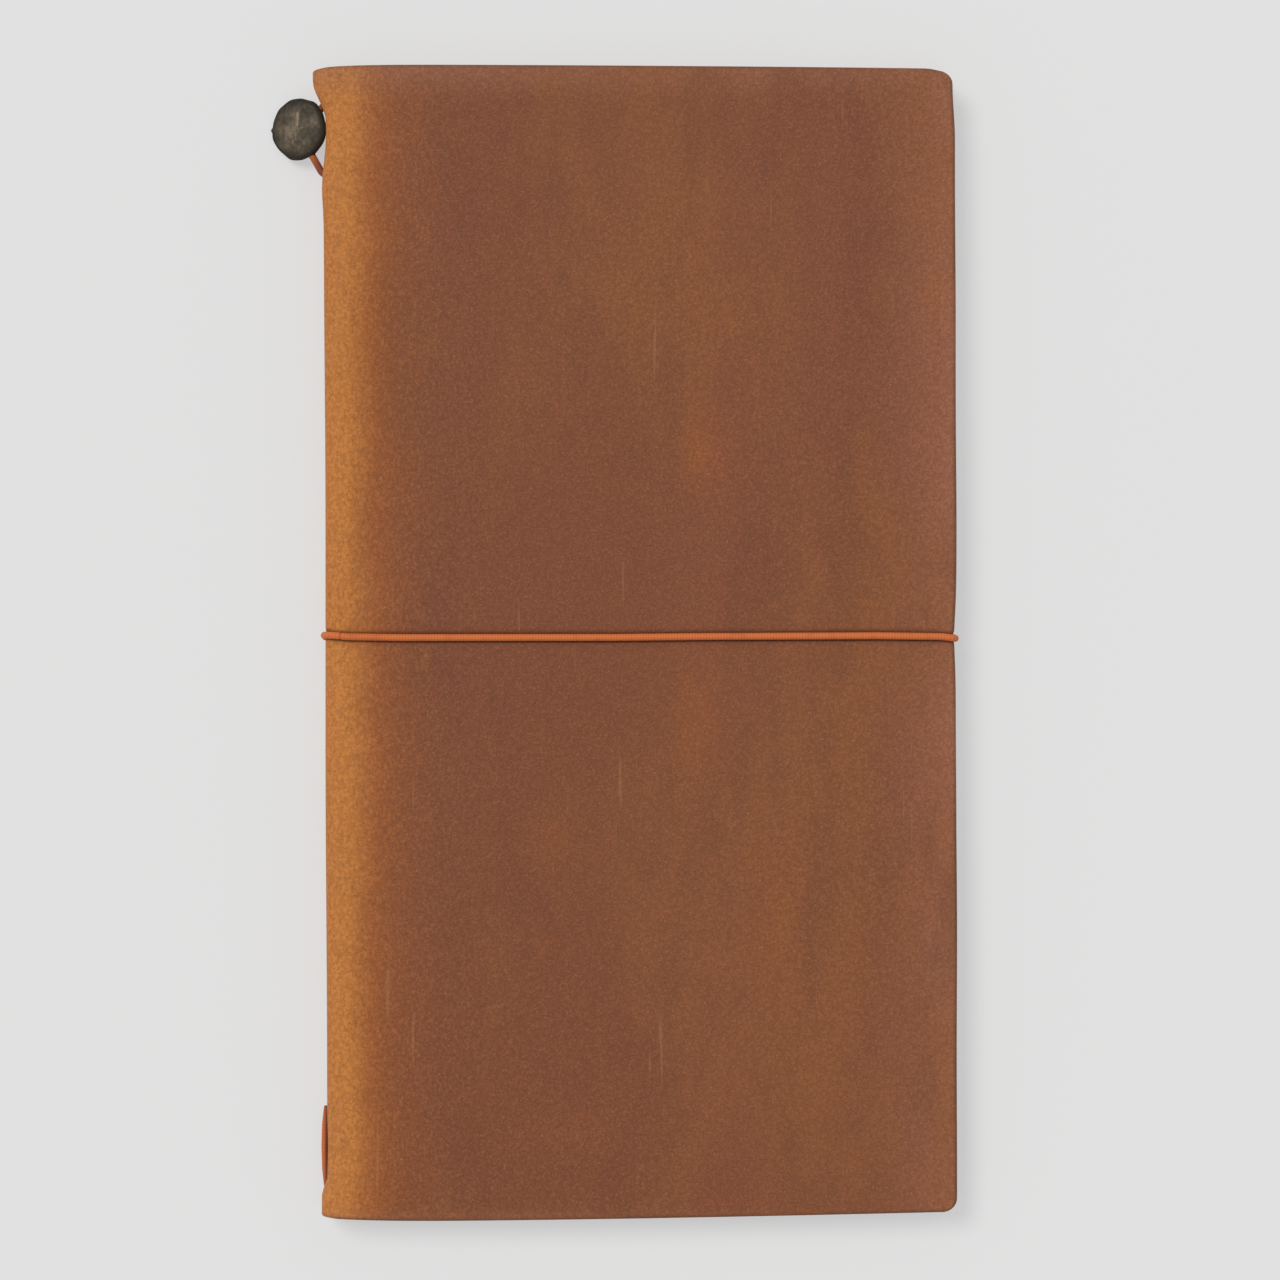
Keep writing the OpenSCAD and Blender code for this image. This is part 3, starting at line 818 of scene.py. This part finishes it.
HOLE_A, HOLE_B, HOLE_C, HOLE_D = holes()
turn_y = gutter_high.y - CORD_D / 2
gutter_line_x = gutter_high.x - CORD_D / 2
inside_x = SPINE_X + LEATHER + 0.9
gutter = braid("gutter_elastic", rounded(
    [at_spine(CORD_IN, HOLE_A, 0), (inside_x, HOLE_A, MID_Z), (inside_x, turn_y, MID_Z),
     (gutter_line_x, turn_y, MID_Z), (gutter_line_x, -turn_y, MID_Z), (inside_x, -turn_y, MID_Z),
     (inside_x, HOLE_D, MID_Z), at_spine(0, HOLE_D, 0)], [1.1] * 6), CORD_D)
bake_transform(gutter)
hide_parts("gutter_elastic")

inner_x = inner_high.x - CORD_D / 2
inner_z = inner_low.z + CORD_D / 2
inner = braid("spine_elastic", rounded(
    [at_spine(CORD_IN, HOLE_B, 0), (inner_x, HOLE_B, MID_Z), (inner_x, HOLE_B - 7, inner_z),
     (inner_x, HOLE_C + 7, inner_z), (inner_x, HOLE_C, MID_Z), at_spine(0, HOLE_C, 0)],
    [0.8, 6, 6, 0.8]), CORD_D)
finish_cord(inner, "spine", ["spine_elastic"])

tail_x = tail_low.x + CORD_D / 2


def shaded_tail(p):
    """Painted shade: darker all over, and most on the side towards the spine, under the flared leather."""
    return 0.2 + 0.65 * step(p[:, 0], tail_x + 0.05, tail_x + 0.6)


tail = braid("tail_elastic", rounded(
    [at_spine(0, HOLE_C, 0), (tail_x + 0.75, HOLE_C - 0.4, MID_Z), (tail_x + 0.42, HOLE_C - 3.4, MID_Z),
     (tail_x + 0.3, (HOLE_C + HOLE_D) / 2, MID_Z), (tail_x + 0.42, HOLE_D + 3.4, MID_Z),
     (tail_x + 0.75, HOLE_D + 0.4, MID_Z), at_spine(0, HOLE_D, 0)], [0.4, 6, 14, 6, 0.4]),
    CORD_D, shaded_tail)
finish_cord(tail, "spine", ["tail_elastic"])


# ---------------------------------------------------------------- the clasp

CLASP_W, CLASP_L, CLASP_T, RIM_T = 11.2, 11.7, 3.0, 1.0
CLASP_GAP = 0.6
CLASP_Y = (clasp_low.y + clasp_high.y) / 2
CLASP_REACH = CLASP_GAP + CLASP_W
# The clasp leans until its outer rim rests on the table.
LEAN = (math.asin((MID_Z - 0.01) / math.hypot(CLASP_REACH, RIM_T / 2))
        - math.atan(RIM_T / 2 / CLASP_REACH))


def leaning(points):
    """Turns points drawn flat, measured from the clasp's hinge line, to where the clasp leans."""
    p = np.array(points, float).reshape(-1, 3)
    c, s = math.cos(LEAN), math.sin(LEAN)
    return np.stack([SPINE_X + c * p[:, 0] - s * p[:, 2], p[:, 1], MID_Z + s * p[:, 0] + c * p[:, 2]], 1)


def clasp_outline(angle):
    """Radius of the beaten rim as a share of full: soft flats and one nib away from the spine."""
    flats = 0.01 * np.cos(7 * angle + 0.6) + 0.012 * np.cos(5 * angle + 2.0) + 0.006 * np.cos(13 * angle)
    nib = 0.075 * hump(np.abs(np.mod(angle, 2 * math.pi) - math.pi), 0, 0.06)
    return 1.015 + flats + 0.03 * np.cos(angle) ** 2 + nib


def clasp_mesh():
    rings, sides = 44, 128
    rho = np.linspace(0, 1, rings + 1)[1:]
    angle = np.linspace(0, 2 * math.pi, sides, endpoint=False)
    r, a = np.meshgrid(rho, angle, indexing="ij")
    x = r * clasp_outline(a) * CLASP_W / 2 * np.cos(a)
    y = r * clasp_outline(a) * CLASP_L / 2 * np.sin(a)

    def face(side):
        dome = RIM_T / 2 + (CLASP_T - RIM_T) / 2 * (1 - r ** 2.4) ** 0.8
        dome = np.where(r > 0.93, dome * (1 - 0.75 * ((r - 0.93) / 0.07) ** 2), dome)
        dents = noise_at(x * 0.45, y * 0.45, 2.0 * side + 0.3)
        small = noise_at(x * 1.3, y * 1.3, 5.0 * side)
        # creases that meet in the middle, from folding the tin round the elastic
        star = 0.0
        for turn in (0.1, 1.62, 3.3, 4.75):
            across = np.abs(x * math.sin(turn) - y * math.cos(turn))
            forward = x * math.cos(turn) + y * math.sin(turn)
            star = star + np.exp(-(across / 0.13) ** 2) * step(forward, -0.1, 0.15) * step(forward, 2.6, 0.8)
        scar = 0.0
        for middle, tilt, place, half, deep in ((0.35, 0.03, 1.6, 1.7, 1), (2.6, 0.3, -2.6, 0.9, 0.3)):
            scratch = deep * np.exp(-((x - middle - tilt * y) / 0.2) ** 2)
            scar = scar + scratch * step(np.abs(y - place), half, half / 2)
        height = dome + (0.16 * dents + 0.05 * small) * (1 - r ** 4) - 0.1 * star + 0.07 * scar
        worn = 0.1 + 0.4 * (1 - r ** 2.5) + 0.26 * dents + 0.16 * small + 0.25 * star + 0.6 * scar
        worn = np.clip(worn, 0, 1)
        worn = np.where(r > 0.88, worn * 0.3, worn)
        return height, worn

    top, top_worn = face(1)
    low, low_worn = face(-1)
    centre = [[0, 0, top[0].mean()], [0, 0, -low[0].mean()]]
    up = np.stack([x, y, top], -1).reshape(-1, 3)
    down = np.stack([x, y, -low], -1)[:-1].reshape(-1, 3)
    up[-sides:, 2] = 0
    points = np.concatenate([up, down, centre])
    n_up, n_down = len(up), len(down)
    faces = []
    for i in range(rings - 1):
        for k in range(sides):
            n = (k + 1) % sides
            faces.append((i * sides + k, (i + 1) * sides + k, (i + 1) * sides + n, i * sides + n))
            # the last ring of the far side is the rim, which both sides share
            below = n_up + (i + 1) * sides if i + 1 < rings - 1 else (rings - 1) * sides
            faces.append((n_up + i * sides + n, below + n, below + k, n_up + i * sides + k))
    c_up, c_down = n_up + n_down, n_up + n_down + 1
    for k in range(sides):
        n = (k + 1) % sides
        faces.append((c_up, k, n))
        faces.append((c_down, n_up + n, n_up + k))
    points[:, 0] -= CLASP_GAP + CLASP_W / 2
    points[:, 1] += CLASP_Y
    piece = make("clasp", leaning(points), faces, [TIN])
    attribute(piece, "worn", np.concatenate([top_worn.ravel(), low_worn[:-1].ravel(), [0.5, 0.5]]))
    return piece


clasp = clasp_mesh()
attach(clasp, "clasp")
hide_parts("clasp")


def darker_lower_end(p):
    """The lower end is painted darker all over, and darkest on its upper and lower sides."""
    return 0.45 + 0.4 * step(np.abs(p[:, 2] - p[:, 2].mean()), 0.2, 0.9)


def shaded_upper_end(p):
    """The upper end lies in the shade of the flared spine, so it is painted dark all over as painted shade.
    """
    return np.full(len(p), 0.9)


upper_end = braid("clasp_elastic_upper", rounded(leaning(
    [(-0.01, HOLE_A, -0.5), (-0.9, HOLE_A, -0.5), (-3.9, HOLE_A - 3.2, -0.5)]), [1.0]), CORD_D, shaded_upper_end)
lower_end = braid("clasp_elastic_lower", rounded(leaning(
    [(-0.01, HOLE_B, -0.5), (-1.4, HOLE_B + 0.3, -0.5), (-5.0, HOLE_B + 6, -0.5)]), [1.6]), CORD_D, darker_lower_end)
for end in (upper_end, lower_end):
    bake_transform(end)
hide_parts("clasp_elastic")


# ---------------------------------------------------------------- the refill

def sheet_mesh(name, low, high, thickness, cells=24):
    """One leaf as a thin slab with a little life in it, its underside on low.z."""
    nx, ny = cells, cells * 2
    xs, ys = np.linspace(low.x, high.x, nx + 1), np.linspace(low.y, high.y, ny + 1)
    gx, gy = np.meshgrid(xs, ys, indexing="ij")
    z = low.z + 0.02 * noise_at(gx * 0.03, gy * 0.03, 1.0)
    top = np.stack([gx, gy, z + thickness], -1).reshape(-1, 3)
    bottom = np.stack([gx, gy, z], -1).reshape(-1, 3)
    total = len(top)
    faces = []
    for i in range(nx):
        for j in range(ny):
            a, b = i * (ny + 1) + j, (i + 1) * (ny + 1) + j
            faces.append((a, b, b + 1, a + 1))
            faces.append((total + a, total + a + 1, total + b + 1, total + b))
    rim = [(i, 0) for i in range(nx)] + [(nx, j) for j in range(ny)]
    rim += [(i, ny) for i in range(nx, 0, -1)] + [(0, j) for j in range(ny, 0, -1)]
    for p, q in zip(rim, rim[1:] + rim[:1]):
        a, b = p[0] * (ny + 1) + p[1], q[0] * (ny + 1) + q[1]
        faces.append((a, total + a, total + b, b))
    return make(name, np.concatenate([top, bottom]), faces, [PAPER], smooth=False)


def stack_tree():
    """Geometry nodes: a leaf repeated upwards, each copy a little out of line."""
    tree = bpy.data.node_groups.new("leaf stack", "GeometryNodeTree")
    face = tree.interface
    face.new_socket("Geometry", in_out="INPUT", socket_type="NodeSocketGeometry")
    for name, kind in (("Leaves", "NodeSocketInt"), ("Rise", "NodeSocketFloat"),
                       ("Shift", "NodeSocketFloat"), ("Seed", "NodeSocketInt"),
                       ("Paper", "NodeSocketMaterial")):
        face.new_socket(name, in_out="INPUT", socket_type=kind)
    face.new_socket("Geometry", in_out="OUTPUT", socket_type="NodeSocketGeometry")
    given = tree.nodes.new("NodeGroupInput").outputs
    step_up = add(tree, "ShaderNodeCombineXYZ", Z=given["Rise"])
    line = add(tree, "GeometryNodeMeshLine", Count=given["Leaves"], Offset=step_up.outputs[0])
    copies = add(tree, "GeometryNodeInstanceOnPoints", Points=line.outputs[0], Instance=given["Geometry"])
    low = times(tree, given["Shift"], -1.0)
    spread = add(tree, "ShaderNodeCombineXYZ", X=given["Shift"], Y=given["Shift"])
    least = add(tree, "ShaderNodeCombineXYZ", X=low, Y=low)
    aside = add(tree, "FunctionNodeRandomValue", {"data_type": "FLOAT_VECTOR"},
                Seed=given["Seed"], i0=least.outputs[0], i1=spread.outputs[0])
    moved = add(tree, "GeometryNodeTranslateInstances", Instances=copies.outputs[0],
                Translation=aside.outputs[0])
    real = add(tree, "GeometryNodeRealizeInstances", Geometry=moved.outputs[0])
    dressed = add(tree, "GeometryNodeSetMaterial", Geometry=real.outputs[0], Material=given["Paper"])
    out = tree.nodes.new("NodeGroupOutput")
    tree.links.new(dressed.outputs[0], out.inputs[0])
    return tree


STACK = stack_tree()
LEAVES_IN_GROUP = 5
LEAF_T = 0.09


def plain_mesh(piece, name):
    """The evaluated piece as a plain mesh, in place of the piece and its modifiers."""
    depsgraph = bpy.context.evaluated_depsgraph_get()
    mesh = bpy.data.meshes.new_from_object(piece.evaluated_get(depsgraph), depsgraph=depsgraph)
    mesh.name = name
    bpy.data.objects.remove(piece)
    result = bpy.data.objects.new(name, mesh)
    bpy.context.collection.objects.link(result)
    return result


def leaf_group(node, body, seed):
    low, high = box_mm(node)
    rise = (high.z - low.z - LEAF_T - 0.02) / (LEAVES_IN_GROUP - 1)
    trim = 0.15
    start = Vector((low.x + trim, low.y + trim, low.z + 0.02))
    leaf = sheet_mesh(node, start, Vector((high.x - trim, high.y - trim, 0)), LEAF_T)
    stack = leaf.modifiers.new("stack", "NODES")
    stack.node_group = STACK
    values = {"Leaves": LEAVES_IN_GROUP, "Rise": rise * MM, "Shift": 0.13 * MM, "Seed": seed, "Paper": PAPER}
    for item in STACK.interface.items_tree:
        if item.in_out == "INPUT" and item.name in values:
            stack[item.identifier] = values[item.name]
    group = plain_mesh(leaf, node)
    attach(group, body)
    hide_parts(node)
    return group


for number in (1, 2, 3):
    leaf_group(f"front_leaves_{number}", f"leaves_{number}", number)
    leaf_group(f"back_leaves_{number}", "back", 10 + number)


def folded_strip(name, radius, thickness, half_l, material, upper):
    """Half of one sheet's fold about the gutter line, with its straight side as far as the leaves."""
    side = 1 if upper else -1
    line = [(-math.cos(a), side * math.sin(a), 0) for a in np.linspace(0, math.pi / 2, 13)]
    reach = LEAF_X - GUTTER_X + 0.1
    line += [(0, side, reach * k / 4) for k in range(1, 5)]
    ys = np.linspace(-half_l, half_l, 60)
    points, faces = [], []
    for r in (radius, radius - thickness):
        for y in ys:
            points += [(GUTTER_X + r * c + run, y, MID_Z + r * t) for c, t, run in line]
    width = len(line)
    total = len(ys) * width
    for j in range(len(ys) - 1):
        for k in range(width - 1):
            a = j * width + k
            faces.append((a, a + 1, a + width + 1, a + width))
            faces.append((total + a, total + a + width, total + a + width + 1, total + a + 1))
    rim = [(0, k) for k in range(width - 1)] + [(j, width - 1) for j in range(len(ys) - 1)]
    rim += [(len(ys) - 1, k) for k in range(width - 1, 0, -1)] + [(j, 0) for j in range(len(ys) - 1, 0, -1)]
    for p, q in zip(rim, rim[1:] + rim[:1]):
        a, b = p[0] * width + p[1], q[0] * width + q[1]
        faces.append((a, a + total, b + total, b))
    if not upper:
        faces = [tuple(reversed(f)) for f in faces]
    return make(name, points, faces, [material])


def join(pieces, name):
    bpy.ops.object.select_all(action="DESELECT")
    for piece in pieces:
        piece.select_set(True)
    bpy.context.view_layer.objects.active = pieces[0]
    bpy.ops.object.join()
    pieces[0].name = name
    return pieces[0]


def blend_fold(piece, upper):
    """Bakes the placement of one half of a fold into its mesh, the same way for either half."""
    if upper:
        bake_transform(piece)
    else:
        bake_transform(piece)


half_refill = refill_high.y
FOLD_IN_R = 1.05
PAPER_OUT_R = 2.03
SHEET_T = 0.055
CARD_T = 0.21
share = (PAPER_OUT_R - FOLD_IN_R) / 3
for number in (1, 2, 3):
    for upper in (True, False):
        radii = [FOLD_IN_R + share * (number - 1) + share * (k + 1) / 4 for k in range(4)]
        strips = [folded_strip("fold", radius, SHEET_T, half_refill - 0.5 - 0.06 * k, PAPER, upper)
                  for k, radius in enumerate(radii)]
        fold = join(strips, f"sheet_fold_{number}_{'front' if upper else 'back'}")
        blend_fold(fold, upper)
        if number == 1 and not upper:
            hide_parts("sheet_folds")
for upper in (True, False):
    name = "card_fold_" + ("front" if upper else "back")
    card_fold = folded_strip(name, FOLD_OUT_R, CARD_T, half_refill, KRAFT, upper)
    blend_fold(card_fold, upper)
    if not upper:
        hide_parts("refill_cover_fold")


def card_panel(node, body):
    low, high = box_mm(node)
    card = sheet_mesh(node, low, high, high.z - low.z - 0.01, 16)
    card.data.materials.clear()
    card.data.materials.append(KRAFT)
    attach(card, body)
    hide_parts(node)


card_panel("refill_cover_front", "refill_front")
card_panel("refill_cover_back", "back")


# ---------------------------------------------------------------- staples

POINT_L = 4.8            # length of a turned-in point
WIRE_STEP = 0.12


def wire(name, line, diameter, sides=12):
    points = resample(np.array(line), WIRE_STEP)[0]
    run = np.gradient(points, axis=0)
    run /= np.linalg.norm(run, axis=1)[:, None]
    u = np.cross(run, [0, 0, 1.0])
    u /= np.linalg.norm(u, axis=1)[:, None]
    v = np.cross(run, u)
    angle = np.linspace(0, 2 * math.pi, sides, endpoint=False)
    end = np.minimum(np.arange(len(points)), np.arange(len(points))[::-1]) * WIRE_STEP
    radius = diameter / 2 * np.where(end < WIRE_STEP, 0.7, 1.0)
    ring = points[:, None, :] + radius[:, None, None] * (np.cos(angle)[None, :, None] * u[:, None, :]
                                                        + np.sin(angle)[None, :, None] * v[:, None, :])
    faces = []
    for i in range(len(points) - 1):
        for k in range(sides):
            a, b = i * sides + k, i * sides + (k + 1) % sides
            faces.append((a, b, b + sides, a + sides))
    faces.append(tuple(reversed(range(sides))))
    faces.append(tuple((len(points) - 1) * sides + k for k in range(sides)))
    return make(name, ring.reshape(-1, 3), faces, [WIRE])


for node in ("staple_head", "staple_tail"):
    low, high = box_mm(node)
    r = (high.z - low.z) / 2
    near, far_x = low.x + r, high.x - r
    middle = (low.y + high.y) / 2
    e = (high.y - low.y) / 2 - r
    tip = e - POINT_L
    staple = wire(node, rounded(
        [(far_x, middle - tip, MID_Z + 0.02), (far_x, middle - e, MID_Z), (near, middle - e, MID_Z),
         (near, middle + e, MID_Z), (far_x, middle + e, MID_Z), (far_x, middle + tip, MID_Z - 0.02)],
        [0.3] * 4), 2 * r * 0.98)
    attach(staple, "stitching")
    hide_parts(node)
